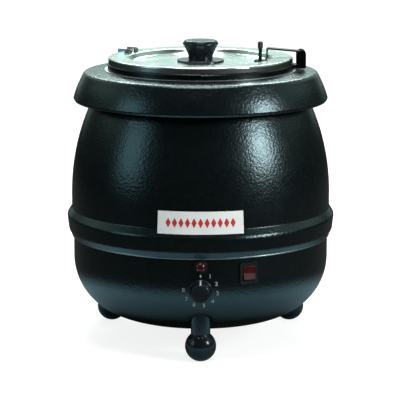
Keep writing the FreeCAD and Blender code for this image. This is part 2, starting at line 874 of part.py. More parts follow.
def make_thermostat():
    front = -flat_depth(thermostat_width / 2, dial_level - thermostat_height / 2)
    case = block(thermostat_width, thermostat_height, front - thermostat_depth, front)
    bushing = disc(bushing_radius, front, bushing_reach)
    spindle_bore = disc(spindle_radius + running_fit, -spindle_depth, bushing_reach)
    export("thermostat_body", [on_wall(fused([case, bushing]).cut(spindle_bore), dial_level)])
    nut_top = rest_gap + panel_nut_height
    nut = hexagon(panel_nut_half, rest_gap, nut_top)
    nut = nut.cut(disc(bushing_radius + press_gap, rest_gap, nut_top))
    export("thermostat_nut", [on_wall(nut, dial_level)])
    spindle = disc(spindle_radius, -spindle_depth + rest_gap, spindle_reach)
    export("thermostat_spindle", [on_wall(spindle, dial_level)])

    top = dial_standoff + dial_height
    knob = turned([
        (0, dial_standoff, 0),
        (dial_skirt_radius, dial_standoff, 0),
        (dial_skirt_radius, dial_standoff + dial_skirt_height, dial_round),
        (dial_grip_radius, dial_standoff + dial_skirt_height, 0),
        (dial_top_radius, top, dial_round),
        (0, top, 0),
    ])
    pocket = disc(dial_pocket_radius, dial_standoff - cut_past, bushing_reach + rest_gap)
    bore = disc(spindle_radius + press_gap, dial_standoff - cut_past, spindle_reach)
    flute = disc(dial_flute_radius, dial_standoff + dial_skirt_height, top + cut_past)
    flute_circle = dial_grip_radius + dial_flute_radius - dial_flute_depth
    flutes = around(flute, flute_circle, dial_flute_count)
    export("dial_knob", [on_wall(knob.cut([pocket, bore, *flutes]), dial_level)])

    bulb_y = -(well_outer + bulb_radius + contact_gap)
    short = capillary_bend * (1 - math.sqrt(0.5))
    start = Vector(0, bulb_y, bulb_level)
    bend_start = Vector(0, bulb_y, bulb_level - capillary_drop)
    bend_end = Vector(0, bulb_y - capillary_bend, dial_level)
    case_back = Vector(0, thermostat_depth - front - base_radius, dial_level)
    elbow = Part.Arc(bend_start, Vector(0, bulb_y - short, dial_level + short), bend_end)
    route = Part.Wire([
        Part.makeLine(start, bend_start),
        elbow.toShape(),
        Part.makeLine(bend_end, case_back),
    ])
    section = Part.Wire(Part.makeCircle(capillary_radius, start, UP))
    capillary = route.makePipeShell([section], True, False)
    bulb = moved(disc(bulb_radius, bulb_level, bulb_level + bulb_length), 0, bulb_y)
    export("capillary_bulb", [fused([bulb, capillary])])


def make_pilot_lamp():
    bezel = turned([
        (0, -shell_wall, 0),
        (lamp_bezel_radius, -shell_wall, 0),
        (lamp_bezel_radius, lamp_bezel_height, lamp_bezel_round),
        (0, lamp_bezel_height, 0),
    ])
    bezel = on_wall(bezel, lamp_level).cut(disc(base_radius, 0, edge_level + base_lap))
    barrel = on_wall(disc(lamp_barrel_radius, -lamp_barrel_depth, lens_seat), lamp_level)
    socket = on_wall(disc(lens_radius + press_gap, lens_seat, lens_height), lamp_level)
    export("pilot_lamp_body", [fused([bezel, barrel]).cut(socket)])
    lens = turned([
        (0, lens_seat, 0),
        (lens_radius, lens_seat, 0),
        (lens_radius, lens_height, lens_round),
        (0, lens_height, 0),
    ])
    export("pilot_lamp_lens", [on_wall(lens, lamp_level)])


def switch_block(grow, bottom, top):
    """Outline of the switch body behind its bezel, larger by an even margin."""
    width = 2 * (rocker_cheek + switch_wall + grow)
    height = 2 * (rocker_rim + switch_wall + grow)
    return block(width, height, bottom, top)


def make_switch():
    margin = switch_wall + bezel_margin
    bezel = block(2 * (rocker_cheek + margin), 2 * (rocker_rim + margin), -shell_wall, bezel_height)
    corners = [edge for edge in bezel.Edges if edge.BoundBox.ZLength > bezel_height]
    bezel = bezel.makeFillet(bezel_round, corners)
    bezel = on_wall(bezel, switch_level, switch_angle).cut(disc(base_radius, 0, edge_level + base_lap))
    case = on_wall(switch_block(0.0, -switch_depth, bezel_height), switch_level, switch_angle)
    pocket = block(2 * rocker_cheek, 2 * rocker_rim, -switch_pocket_depth, bezel_height + cut_past)
    pin_reach = rocker_width / 2 + trunnion_reach
    pin_hole = Part.makeCylinder(
        trunnion_radius + running_fit, 2 * pin_reach + 2 * rocker_side_gap,
        Vector(-pin_reach - rocker_side_gap, 0, -rocker_pivot_depth), Vector(1, 0, 0))
    hollow = [on_wall(shape, switch_level, switch_angle) for shape in (pocket, pin_hole)]
    export("switch_housing", [fused([bezel, case]).cut(hollow)])

    half = rocker_height / 2
    section = face_of([
        (-half, 0, 0),
        (-rocker_keel / 2, -rocker_pivot_depth - rocker_belly, rocker_edge),
        (rocker_keel / 2, -rocker_pivot_depth - rocker_belly, rocker_edge),
        (half, 0, 0),
        (half, rocker_end_rise, rocker_edge),
        (0, rocker_middle_rise, rocker_middle_round),
        (-half, rocker_end_rise, rocker_edge),
    ])
    body = moved(section.extrude(Vector(0, rocker_width, 0)), 0, -rocker_width / 2)
    body.rotate(Vector(0, 0, 0), UP, 90)
    trunnion = Part.makeCylinder(
        trunnion_radius, 2 * pin_reach, Vector(-pin_reach, 0, -rocker_pivot_depth), Vector(1, 0, 0))
    rocker = fused([body, trunnion])
    rocker.rotate(Vector(0, 0, -rocker_pivot_depth), Vector(1, 0, 0), -rocker_rest_angle)
    export("switch_rocker", [on_wall(rocker, switch_level, switch_angle)])


def on_back(shape):
    return on_wall(shape, gland_level, gland_angle)


def make_gland_and_terminals():
    dome = turned([
        (0, gland_hex_height, 0),
        (gland_dome_radius, gland_hex_height, 0),
        (gland_dome_radius, gland_dome_height, gland_dome_round),
        (0, gland_dome_height, 0),
    ])
    head = on_back(fused([hexagon(gland_hex, -shell_wall, gland_hex_height), dome]))
    head = head.cut(disc(base_radius, 0, edge_level + base_lap))
    thread = on_back(disc(gland_thread_radius, -gland_thread_depth, gland_hex_height))
    bore = on_back(disc(gland_bore_radius, -gland_thread_depth, gland_dome_height))
    export("cable_gland", [fused([head, thread]).cut(bore)])
    nut_face = -flat_depth(gland_hex / math.cos(math.radians(30)), gland_level - gland_hex)
    nut = hexagon(gland_hex, nut_face - gland_nut_height, nut_face)
    nut = nut.cut(disc(gland_thread_radius + press_gap, nut_face - gland_nut_height, nut_face))
    export("gland_nut", [on_back(nut)])

    terminals = block(block_width, block_depth, base_floor, base_floor + block_height)
    spacing = block_width / block_ways
    channel = along_y(disc(block_channel, -block_depth, block_depth))
    for way in range(block_ways):
        place = (way - (block_ways - 1) / 2) * spacing
        terminals = terminals.cut(moved(channel, place, 0, base_floor + block_height / 2))
    export("terminal_block", [terminals])


os.makedirs("parts", exist_ok=True)
make_base_bowl()
make_body_shell()
make_collar()
make_water_bath()
make_heater()
make_tie_studs()
make_service_plate()
make_feet()
make_thermostat()
make_pilot_lamp()
make_switch()
make_gland_and_terminals()
make_soup_pot()
make_lid_ring()
make_lid()
make_lid_knob()
make_hinge_arm()
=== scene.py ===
# %% [markdown]
# # A soup kettle, dressed for its portrait
#
# The kettle's pieces are already built at their real size: a black hammer-finish body on three
# ball feet, a collar, a stainless lid that is hinged on a loose ring, and a few controls. This
# lesson loads those pieces as a fixed frame and gives them their finishes, then adds the thin
# things that are rolled, printed or stuck on: the front plate, the edge under the bead, the
# numbers round the dial and its pointer.

# %% Load the kettle's frame
import json
import math

import bmesh
import bpy
from mathutils import Matrix, Vector
from mathutils.bvhtree import BVHTree


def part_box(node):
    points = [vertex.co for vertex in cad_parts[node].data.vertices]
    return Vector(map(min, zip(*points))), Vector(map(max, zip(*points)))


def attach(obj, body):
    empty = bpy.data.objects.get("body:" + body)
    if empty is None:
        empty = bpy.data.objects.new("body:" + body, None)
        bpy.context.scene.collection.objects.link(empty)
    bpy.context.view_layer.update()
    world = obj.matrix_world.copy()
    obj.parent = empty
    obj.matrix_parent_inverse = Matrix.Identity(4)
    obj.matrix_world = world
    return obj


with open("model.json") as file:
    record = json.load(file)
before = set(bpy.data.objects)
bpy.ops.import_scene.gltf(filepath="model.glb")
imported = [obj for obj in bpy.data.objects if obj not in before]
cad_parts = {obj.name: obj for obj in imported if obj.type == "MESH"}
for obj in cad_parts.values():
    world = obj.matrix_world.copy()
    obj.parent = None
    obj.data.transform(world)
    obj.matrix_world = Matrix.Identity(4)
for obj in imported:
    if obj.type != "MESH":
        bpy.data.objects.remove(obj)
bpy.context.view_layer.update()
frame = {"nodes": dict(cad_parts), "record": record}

MM = 0.001
scene = bpy.context.scene
nodes = frame["nodes"]

# %% [markdown]
# ## The camera
#
# The portrait is taken from the front with a long lens, a little above the lid, so the rims show
# as flat ellipses and the uprights stay parallel. A long lens far away flattens a round belly the
# way a catalogue picture does; a short lens close by would swell it.

# %% Camera in front and a little above
CAMERA_DISTANCE = 2.465
CAMERA_HEIGHT = 0.658
CAMERA_SIDE = -0.0007
CAMERA_PITCH = 11.1
LENS = 176.3

camera_data = bpy.data.cameras.new("portrait_camera")
camera_data.lens = LENS
camera = bpy.data.objects.new("portrait_camera", camera_data)
camera.location = (CAMERA_SIDE, -CAMERA_DISTANCE, CAMERA_HEIGHT)
camera.rotation_euler = (math.radians(90 - CAMERA_PITCH), 0, 0)
scene.collection.objects.link(camera)
scene.camera = camera
scene.view_settings.view_transform = "Standard"
print("camera", [round(x, 3) for x in camera.location], "lens", LENS)

# %% [markdown]
# ## A small way to write node trees
#
# Every finish below is a short chain of nodes. A few helpers keep those chains readable: one adds
# a node and sets its sockets by name or number, one starts a material and returns its shader, and
# the others stand for the steps that come back in each finish: a noise, a blend of two colours, a
# change of limits and a relief. Patterns are measured in real size, so a scale is a count per metre.

# %% Node helpers
def add_node(tree, kind, settings=None, **sockets):
    """One node; a socket gets a plain value or the output of another node."""
    node = tree.nodes.new("ShaderNode" + kind)
    for name, value in (settings or {}).items():
        setattr(node, name, value)
    for name, value in sockets.items():
        socket = node.inputs[int(name[1:])] if name[0] == "_" else node.inputs[name.replace("_", " ")]
        if isinstance(value, bpy.types.NodeSocket):
            tree.links.new(value, socket)
        else:
            socket.default_value = value
    return node


def start_finish(name, **sockets):
    """A new material with its shader's plain values set; returns material, tree and shader."""
    material = bpy.data.materials.new(name)
    material.use_nodes = True
    tree = material.node_tree
    shader = tree.nodes["Principled BSDF"]
    for socket, value in sockets.items():
        shader.inputs[socket.replace("_", " ")].default_value = value
    return material, tree, shader


def object_place(tree):
    """The point's own place on the kettle, in metres."""
    return add_node(tree, "TexCoord").outputs["Object"]


def noise(tree, place, per_metre, detail):
    """Soft random patches, so many to a metre."""
    return add_node(tree, "TexNoise", Vector=place, Scale=per_metre, Detail=detail).outputs["Fac"]


def ramp(tree, value, dark, light, low=0.35, high=0.65):
    """Two colours blended between two values of a pattern."""
    node = add_node(tree, "ValToRGB", _0=value)
    first, second = node.color_ramp.elements
    first.position, first.color = low, (*dark, 1)
    second.position, second.color = high, (*light, 1)
    return node.outputs["Color"]


def spread(tree, value, low, high):
    """A pattern's 0 to 1 stretched to other limits."""
    return add_node(tree, "MapRange", Value=value, To_Min=low, To_Max=high).outputs["Result"]


def fade(tree, value, edge):
    """A soft step from 0 to 1 between two values."""
    return add_node(tree, "MapRange", {"interpolation_type": "SMOOTHSTEP"}, Value=value, From_Min=edge[0],
                    From_Max=edge[1]).outputs["Result"]


def combine(tree, operation, first, second):
    """One value made of two, such as their product or the larger one."""
    return add_node(tree, "Math", {"operation": operation}, _0=first, _1=second).outputs["Value"]


def relief(tree, height, depth, strength):
    """A bump of a real depth."""
    return add_node(tree, "Bump", Height=height, Distance=depth, Strength=strength).outputs["Normal"]


def connect(tree, shader, **links):
    """Link outputs to the shader's sockets by name."""
    for socket, output in links.items():
        tree.links.new(output, shader.inputs[socket.replace("_", " ")])


print("helpers ready")

# %% [markdown]
# ## The studio
#
# A black pot is drawn by what it mirrors: a few soft boxes, and a room that is dark behind the
# camera, which keeps the belly black. One white world would be simpler, but glossy black mirrors it
# along every edge and turns grey. So the world is split: white for the lens, a plain soft light for
# dull surfaces, and for mirrors a dark room with a pale panel straight behind and a pale ceiling.
# The lid mirrors the panel; the belly's sides look past it and stay dark.

# %% World: white to the lens, a dark room with a pale panel in mirrors
AMBIENT = 0.26
ROOM_GREY = 0.05
ROOM_PALE = 0.7
ROOM_TINT = (0.73, 1.0, 0.9)
PANEL_EDGE = (0.8, 0.98)
CEILING_EDGE = (0.15, 0.45)
FRONT_EDGE = (-0.3, 0.3)


def ray_kinds(tree):
    """Whether a ray comes from the lens, and whether it comes from a mirror or clear piece."""
    rays = add_node(tree, "LightPath").outputs
    mirror = combine(tree, "MAXIMUM", rays["Is Glossy Ray"], rays["Is Transmission Ray"])
    return rays["Is Camera Ray"], mirror


world = bpy.data.worlds.new("studio")
scene.world = world
world.use_nodes = True
sky = world.node_tree
sky.nodes.clear()
aim = add_node(sky, "SeparateXYZ", Vector=add_node(sky, "TexCoord").outputs["Generated"]).outputs
panel = fade(sky, aim["Y"], PANEL_EDGE)
ceiling = combine(sky, "MULTIPLY", fade(sky, aim["Z"], CEILING_EDGE), fade(sky, aim["Y"], FRONT_EDGE))
room = spread(sky, combine(sky, "MAXIMUM", panel, ceiling), ROOM_GREY, ROOM_PALE)
lens, mirror = ray_kinds(sky)
soft = add_node(sky, "Mix", _0=mirror, _2=AMBIENT, _3=room).outputs[0]
shown = add_node(sky, "Mix", _0=lens, _2=soft, _3=1.0).outputs[0]
background = add_node(sky, "Background", Color=ramp(sky, mirror, (1, 1, 1), ROOM_TINT), Strength=shown)
add_node(sky, "OutputWorld", Surface=background.outputs[0])
print("world: ambient", AMBIENT, "and in mirrors", ROOM_GREY, "to", ROOM_PALE)

# %% [markdown]
# ## The table
#
# The kettle stands on white paper. Paper that is lit until it is white would also light the black
# bowl from below, so the paper itself is grey and only glows for the lens: less near the kettle,
# where its shadow shows, and fully further out. In mirrors the paper is nearly black, save for a
# teal ring round the kettle that glows for mirrors alone: a painted reflection, not lamp light,
# which gives the paler band near the feet.

# %% A wide sheet of paper
FLOOR_SIZE = 30.0
floor_mesh = bpy.data.meshes.new("floor")
shape = bmesh.new()
bmesh.ops.create_grid(shape, x_segments=1, y_segments=1, size=FLOOR_SIZE / 2)
shape.to_mesh(floor_mesh)
shape.free()
floor = bpy.data.objects.new("floor", floor_mesh)
scene.collection.objects.link(floor)
print("floor", FLOOR_SIZE, "m")

# %% Paper that stays white to the lens and keeps a soft shadow
FLOOR_GLOW = 0.84
FLOOR_FADE = (0.5, 1.8)
PAPER_GREY = 0.32
PAPER_IN_MIRRORS = 0.05
MIRROR_GLOW = 1.35
MIRROR_TINT = (0.5, 0.86, 1.0)
MIRROR_RING = ((0.12, 0.0), (0.24, 1.0), (0.345, 0.0))
RING_FRONT = (0.15, -0.15)
RING_BEHIND = 0.3

paper, tree, shader = start_finish("white_paper", Roughness=0.9, Specular_IOR_Level=0.0)
lens, mirror = ray_kinds(tree)
# Seen in mirrors the paper is nearly black: a painted dark reflection in the bowl.
connect(tree, shader, Base_Color=ramp(tree, mirror, (PAPER_GREY,) * 3, (PAPER_IN_MIRRORS,) * 3))
place = object_place(tree)
reach = add_node(tree, "VectorMath", {"operation": "LENGTH"}, _0=place).outputs["Value"]
in_front = fade(tree, add_node(tree, "SeparateXYZ", Vector=place).outputs["Y"], RING_FRONT)
# A ring round the kettle glows for mirrors alone, stronger in front: a painted reflection on the bowl, not
# lamp light.
painted_reflection_ring = add_node(tree, "ValToRGB", _0=reach)
painted_reflection_ring.color_ramp.elements.new(0.5)
for stop, (distance, share) in zip(painted_reflection_ring.color_ramp.elements, MIRROR_RING):
    stop.position = distance
    stop.color = (share * MIRROR_GLOW,) * 3 + (1,)
ring_share = spread(tree, in_front, RING_BEHIND, 1.0)
ring_level = combine(tree, "MULTIPLY", painted_reflection_ring.outputs["Color"], ring_share)
mirrored = combine(tree, "MULTIPLY", mirror, ring_level)
paper_level = add_node(tree, "MapRange", Value=reach, From_Min=FLOOR_FADE[0], From_Max=FLOOR_FADE[1],
                       To_Min=FLOOR_GLOW, To_Max=1.0).outputs["Result"]
level = add_node(tree, "Math", {"operation": "MULTIPLY_ADD"}, _0=lens, _1=paper_level,
                 _2=mirrored).outputs["Value"]
glow = add_node(tree, "Emission", Color=ramp(tree, mirror, (1, 1, 1), MIRROR_TINT), Strength=level)
both = add_node(tree, "AddShader", _0=shader.outputs[0], _1=glow.outputs[0])
tree.links.new(both.outputs[0], tree.nodes["Material Output"].inputs["Surface"])
floor_mesh.materials.append(paper)
print("paper glows from", FLOOR_GLOW, "to 1 between", FLOOR_FADE, "m")

# %% [markdown]
# ## The soft boxes
#
# Four rectangular lamps light the kettle. In a glossy wall each one shows as a patch of its own
# shape, so an area lamp is used and not a point: the right one is small and bright, the left one
# larger, dimmer and bluish, and the back and top ones draw the rims and the lid.

# %% Soft boxes
BELLY_MIDDLE = (0, 0, 0.22)
COLLAR_MIDDLE = (0, 0, 0.34)
SOFT_BOXES = {
    "right_box": dict(place=(1.35, -0.85, 0.78), target=BELLY_MIDDLE, size=(0.45, 0.5), power=20.0,
                      colour=(0.9, 0.98, 1.0)),
    "left_box": dict(place=(-1.6, -0.75, 0.75), target=BELLY_MIDDLE, size=(0.7, 0.9), power=4.8,
                     colour=(0.55, 0.9, 1.0)),
    "back_box": dict(place=(0, 1.5, 1.35), target=COLLAR_MIDDLE, size=(1.2, 0.5), power=25.0,
                     colour=(0.82, 0.98, 0.96)),
    "top_box": dict(place=(0, -0.1, 2.0), target=BELLY_MIDDLE, size=(1.0, 1.5), power=38.0,
                    colour=(1, 1, 1)),
}


def soft_box(name, place, target, size, power, colour):
    """A rectangular lamp turned to face a point on the kettle."""
    data = bpy.data.lights.new(name, "AREA")
    data.shape = "RECTANGLE"
    data.size, data.size_y = size
    data.energy = power
    data.color = colour
    lamp = bpy.data.objects.new(name, data)
    lamp.location = place
    lamp.rotation_euler = (Vector(target) - Vector(place)).to_track_quat("-Z", "Y").to_euler()
    scene.collection.objects.link(lamp)


for name, box in SOFT_BOXES.items():
    soft_box(name, **box)
print("soft boxes", list(SOFT_BOXES))

# %% [markdown]
# ## Black hammer finish
#
# The shells are sprayed with hammer paint: as it dries it pulls into small shallow cells with
# soft ridges between them, so a highlight breaks up into speckles. A plain noise would look like
# orange peel, which is another finish. A cell pattern in real size, pushed about by a noise so that
# no two cells match, gives both the relief and a faint change of colour. It reads the object's own
# coordinates, so it wraps round the belly without a seam.

# %% Hammer paint
CELLS_PER_METRE = 330.0
CELL_SOFTNESS = 0.6
CELL_DEPTH = 0.4 * MM
CELL_DRIFT = 3.0 * MM
DRIFTS_PER_METRE = 180.0
PAINT_CLOUDS_PER_METRE = 70.0


def hammer_paint():
    """Nearly black paint whose cells are a little paler than the ridges between them."""
    material, tree, shader = start_finish("hammer_black", IOR=1.5, Specular_Tint=(0.72, 0.95, 1.0, 1.0))
    place = object_place(tree)
    drift = add_node(tree, "TexNoise", Vector=place, Scale=DRIFTS_PER_METRE, Detail=2.0).outputs["Color"]
    nudged = add_node(tree, "VectorMath", {"operation": "MULTIPLY_ADD"}, _0=drift, _1=(CELL_DRIFT,) * 3,
                      _2=place).outputs[0]
    cells = add_node(tree, "TexVoronoi", {"feature": "SMOOTH_F1"}, Vector=nudged, Scale=CELLS_PER_METRE,
                     Smoothness=CELL_SOFTNESS).outputs["Distance"]
    cloud = noise(tree, place, PAINT_CLOUDS_PER_METRE, detail=3.0)
    colour = ramp(tree, cells, (0.0028, 0.0046, 0.0049), (0.0012, 0.002, 0.0022), low=0.15, high=0.75)
    connect(tree, shader, Base_Color=colour, Roughness=spread(tree, cloud, low=0.2, high=0.32),
            Normal=relief(tree, cells, CELL_DEPTH, strength=0.5))
    return material


finishes = {"hammer_black": hammer_paint()}
print("finish", list(finishes))

# %% [markdown]
# ## Stainless steel, spun and polished
#
# The lid and its ring are spun on a lathe and polished, so their fine scratches run in circles.
# A noise that reads only height and distance from the axis makes those circles, without a UV map
# on every piece; a second, wide noise clouds the shine a little, as wiping does. The bath gets the
# same steel, duller. The ring and its hinge stand in the collar's shade, and that shade is painted
# into their steel, which is made nearly black.

# %% Spun steel
SCRATCHES_PER_METRE = 2600.0
SCRATCH_SHARE = 0.35
WIPES_PER_METRE = 28.0
WIPED_SHADE = 0.93


def spun_steel(name, colour, dull, bright, groove):
    """Steel with ring-shaped scratches; dull and bright are its limits of roughness."""
    material, tree, shader = start_finish(name, Metallic=1.0)
    place = object_place(tree)
    flat = add_node(tree, "VectorMath", {"operation": "MULTIPLY"}, _0=place, _1=(1, 1, 0)).outputs[0]
    reach = add_node(tree, "VectorMath", {"operation": "LENGTH"}, _0=flat).outputs["Value"]
    height = add_node(tree, "SeparateXYZ", Vector=place).outputs["Z"]
    track = add_node(tree, "CombineXYZ", X=reach, Z=height).outputs[0]
    rings = noise(tree, track, SCRATCHES_PER_METRE, detail=4.0)
    cloud = noise(tree, place, WIPES_PER_METRE, detail=3.0)
    shade = ramp(tree, cloud, tuple(WIPED_SHADE * part for part in colour), colour)
    mixed = add_node(tree, "Math", {"operation": "MULTIPLY_ADD"}, _0=rings, _1=SCRATCH_SHARE,
                     _2=cloud).outputs["Value"]
    connect(tree, shader, Base_Color=shade, Roughness=spread(tree, mixed, bright, dull),
            Normal=relief(tree, rings, groove, strength=0.3))
    return material


STEELS = {
    "polished_steel": dict(colour=(0.61, 0.65, 0.63), dull=0.26, bright=0.12, groove=0.03 * MM),
    # The ring's steel is nearly black: the collar's shade painted into its colour.
    "ring_steel": dict(colour=(0.036, 0.044, 0.044), dull=0.32, bright=0.18, groove=0.03 * MM),
    "bath_steel": dict(colour=(0.6, 0.61, 0.61), dull=0.42, bright=0.26, groove=0.06 * MM),
}
for name, look in STEELS.items():
    finishes[name] = spun_steel(name, **look)
print("finishes", list(finishes))

# %% [markdown]
# ## Moulded plastics and rubber
#
# The knob, feet and dial are phenolic plastic with a deep gloss, the switch frame and lamp body
# have a satin moulding grain, and the lens and rocker are clear red plastic over a dark inside.
# One function makes them all: a fine grain for the relief, a cloudy noise for the gloss. A table of
# looks keeps them side by side, so the gloss of one is easily set against another's.

# %% Plastic
PLASTIC_CLOUDS_PER_METRE = 55.0


def moulded(name, colour, tint, gloss, grain_size, grain_depth, **sockets):
    """Two shades of one colour, a range of roughness, and a grain of a real size and depth."""
    material, tree, shader = start_finish(name, **sockets)
    place = object_place(tree)
    cloud = noise(tree, place, PLASTIC_CLOUDS_PER_METRE, detail=3.0)
    grain = noise(tree, place, 1.0 / grain_size, detail=2.0)
    connect(tree, shader, Base_Color=ramp(tree, cloud, colour, tint),
            Roughness=spread(tree, cloud, *gloss), Normal=relief(tree, grain, grain_depth, strength=0.4))
    return material


PLASTICS = {
    "gloss_black": dict(colour=(0.007, 0.009, 0.011), tint=(0.011, 0.014, 0.017), gloss=(0.14, 0.24),
                        grain_size=2.5 * MM, grain_depth=0.04 * MM, Specular_IOR_Level=0.32,
                        Specular_Tint=(0.72, 0.88, 1.0, 1.0)),
    "matte_black": dict(colour=(0.006, 0.0065, 0.007), tint=(0.01, 0.0108, 0.0115), gloss=(0.4, 0.55),
                        grain_size=0.8 * MM, grain_depth=0.05 * MM, Specular_IOR_Level=0.2),
    "soft_black": dict(colour=(0.012, 0.012, 0.012), tint=(0.02, 0.02, 0.02), gloss=(0.6, 0.75),
                       grain_size=0.6 * MM, grain_depth=0.06 * MM),
    "red_lens": dict(colour=(0.032, 0.0012, 0.0012), tint=(0.055, 0.0022, 0.002), gloss=(0.16, 0.26),
                     grain_size=3.0 * MM, grain_depth=0.03 * MM, Coat_Weight=0.15, Coat_Roughness=0.06),
    "seal_grey": dict(colour=(0.3, 0.29, 0.28), tint=(0.38, 0.37, 0.36), gloss=(0.6, 0.75),
                      grain_size=1.0 * MM, grain_depth=0.05 * MM),
    "block_white": dict(colour=(0.72, 0.72, 0.69), tint=(0.8, 0.8, 0.77), gloss=(0.45, 0.6),
                        grain_size=1.0 * MM, grain_depth=0.04 * MM),
}
for name, look in PLASTICS.items():
    finishes[name] = moulded(name, **look)
print("finishes", list(finishes))

# %% [markdown]
# ## Plated and drawn metal inside
#
# Screws, studs and plates are zinc plated, which dries in pale clouds; the heater's tube is
# stained by heat and the sensing bulb is drawn copper. They hide inside the base, but they show
# when the kettle is turned over or opened. The belly's rolled edge gets a pale grey metal here too,
# far paler than the black paint of its sheet, so its light line is partly a painted highlight.

# %% Plated metal
PLATING_CLOUDS_PER_METRE = 130.0
TEETH_PER_METRE = 1500.0
TOOTH_DEPTH = 0.03 * MM


def plated(name, colour, tint, gloss):
    """Metal in clouds of two shades with a fine tooth."""
    material, tree, shader = start_finish(name, Metallic=1.0)
    place = object_place(tree)
    cloud = noise(tree, place, PLATING_CLOUDS_PER_METRE, detail=4.0)
    tooth = noise(tree, place, TEETH_PER_METRE, detail=2.0)
    connect(tree, shader, Base_Color=ramp(tree, cloud, colour, tint), Roughness=spread(tree, cloud, *gloss),
            Normal=relief(tree, tooth, TOOTH_DEPTH, strength=0.4))
    return material


METALS = {
    "zinc_steel": dict(colour=(0.42, 0.44, 0.46), tint=(0.58, 0.6, 0.61), gloss=(0.3, 0.45)),
    "element_steel": dict(colour=(0.22, 0.17, 0.13), tint=(0.34, 0.32, 0.31), gloss=(0.4, 0.6)),
    # The roll's pale grey is partly a painted highlight: the sheet it ends is black paint.
    "edge_grey": dict(colour=(0.21, 0.25, 0.25), tint=(0.29, 0.33, 0.33), gloss=(0.3, 0.42)),
    "copper_tube": dict(colour=(0.5, 0.25, 0.15), tint=(0.66, 0.36, 0.24), gloss=(0.25, 0.4)),
}
for name, look in METALS.items():
    finishes[name] = plated(name, **look)
print("finishes", len(finishes))

# %% [markdown]
# ## Dressing the frame
#
# The kettle's record names a finish for every piece, so one loop dresses them all, and a piece that
# is added later is dressed without a new line. The ring and the hinge are the exception: the record
# calls them polished steel, and here they get the nearly black steel with the collar's shade painted
# into it.

# %% Give every piece its finish
# These pieces take the steel with the collar's shade painted into it.
RING_PIECES = ("lid_ring", "hinge_bracket", "hinge_arm", "hinge_pin", "bracket_rivets", "arm_stud")
slot_of = {part["node"]: part["material_slot"] for part in frame["record"]["subparts"]}
for name, node in nodes.items():
    node.data.materials.clear()
    node.data.materials.append(finishes["ring_steel" if name in RING_PIECES else slot_of[name]])
print("dressed", len(slot_of), "pieces")

# %% [markdown]
# ## The front plate
#
# A thin white plate is fixed to the front, with its top against the belly and its lower edge on
# the slope of the bead, so it leans back a little and is a piece of a cone. A flat box would stand
# off the round belly at its ends. One slanted edge spun through the plate's angle makes the cone
# instead, and solidify gives it its thickness. The print is a plain row of red lozenges, each laid
# on the same cone.

# %% The cone that the plate lies on
PLATE_LEVELS = (165.0 * MM, 192.4 * MM)
PLATE_RADII = (167.75 * MM, 164.95 * MM)
PLATE_THICKNESS = 0.8 * MM
PLATE_HALF_ANGLE = 18.0
PRINT_LIFT = 0.06 * MM
lean = math.atan2(PLATE_RADII[0] - PLATE_RADII[1], PLATE_LEVELS[1] - PLATE_LEVELS[0])


def plate_radius(level, lift):
    """Distance from the axis at a level; lift is the distance off the plate's back."""
    share = (level - PLATE_LEVELS[0]) / (PLATE_LEVELS[1] - PLATE_LEVELS[0])
    return PLATE_RADII[0] + share * (PLATE_RADII[1] - PLATE_RADII[0]) + lift / math.cos(lean)


def cone_strip(shape, levels, degrees, lift):
    """A strip of the cone between two levels and two angles, measured from the front."""
    ends = [shape.verts.new((plate_radius(level, lift), 0, level)) for level in levels]
    edge = shape.edges.new(ends)
    turn = Matrix.Rotation(math.radians(degrees[0] - 90), 4, "Z")
    bmesh.ops.transform(shape, matrix=turn, verts=ends)
    steps = max(1, round(degrees[1] - degrees[0]))
    bmesh.ops.spin(shape, geom=ends + [edge], axis=(0, 0, 1), steps=steps,
                   angle=math.radians(degrees[1] - degrees[0]))


def thicken(shape, thickness):
    """Faces turned outwards from the kettle's axis, then given a wall behind them."""
    shape.normal_update()
    for face in shape.faces:
        if face.normal.dot(face.calc_center_median() * Vector((1, 1, 0))) < 0:
            face.normal_flip()
    shape.normal_update()
    bmesh.ops.solidify(shape, geom=shape.faces[:], thickness=thickness)


def keep(shape, name, finish, body):
    """The shape becomes a piece of the kettle that rides on one of its bodies."""
    mesh = bpy.data.meshes.new(name)
    shape.to_mesh(mesh)
    shape.free()
    mesh.materials.append(finish)
    piece = bpy.data.objects.new(name, mesh)
    scene.collection.objects.link(piece)
    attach(piece, body)
    print(name, len(mesh.polygons), "faces")


print("plate leans back", round(math.degrees(lean), 1), "degrees")

# %% The plate and its print
plate_white = moulded("plate_white", colour=(0.80, 0.80, 0.77), tint=(0.85, 0.85, 0.82),
                      gloss=(0.3, 0.42), grain_size=1.2 * MM, grain_depth=0.03 * MM)
print_red = moulded("print_red", colour=(0.52, 0.022, 0.02), tint=(0.6, 0.03, 0.026),
                    gloss=(0.35, 0.5), grain_size=0.8 * MM, grain_depth=0.02 * MM)
LOZENGES = 11
LOZENGE_PITCH = 2.7
LOZENGE_HALF = (6.0 * MM, 3.2 * MM)

shape = bmesh.new()
cone_strip(shape, PLATE_LEVELS, (-PLATE_HALF_ANGLE, PLATE_HALF_ANGLE), PLATE_THICKNESS)
thicken(shape, PLATE_THICKNESS)
keep(shape, "front_plate", plate_white, "kettle")

shape = bmesh.new()
face_lift = PLATE_THICKNESS + PRINT_LIFT
middle = sum(PLATE_LEVELS) / 2
for number in range(LOZENGES):
    angle = (number - (LOZENGES - 1) / 2) * LOZENGE_PITCH
    place = (Matrix.Rotation(math.radians(angle - 90), 4, "Z")
             @ Matrix.Translation((plate_radius(middle, face_lift), 0, middle))
             @ Matrix.Rotation(math.radians(90) - lean, 4, "Y") @ Matrix.Diagonal((*LOZENGE_HALF, 1, 1)))
    bmesh.ops.create_circle(shape, cap_ends=True, segments=4, radius=1.0, matrix=place)
thicken(shape, PRINT_LIFT)
keep(shape, "plate_print", print_red, "kettle")
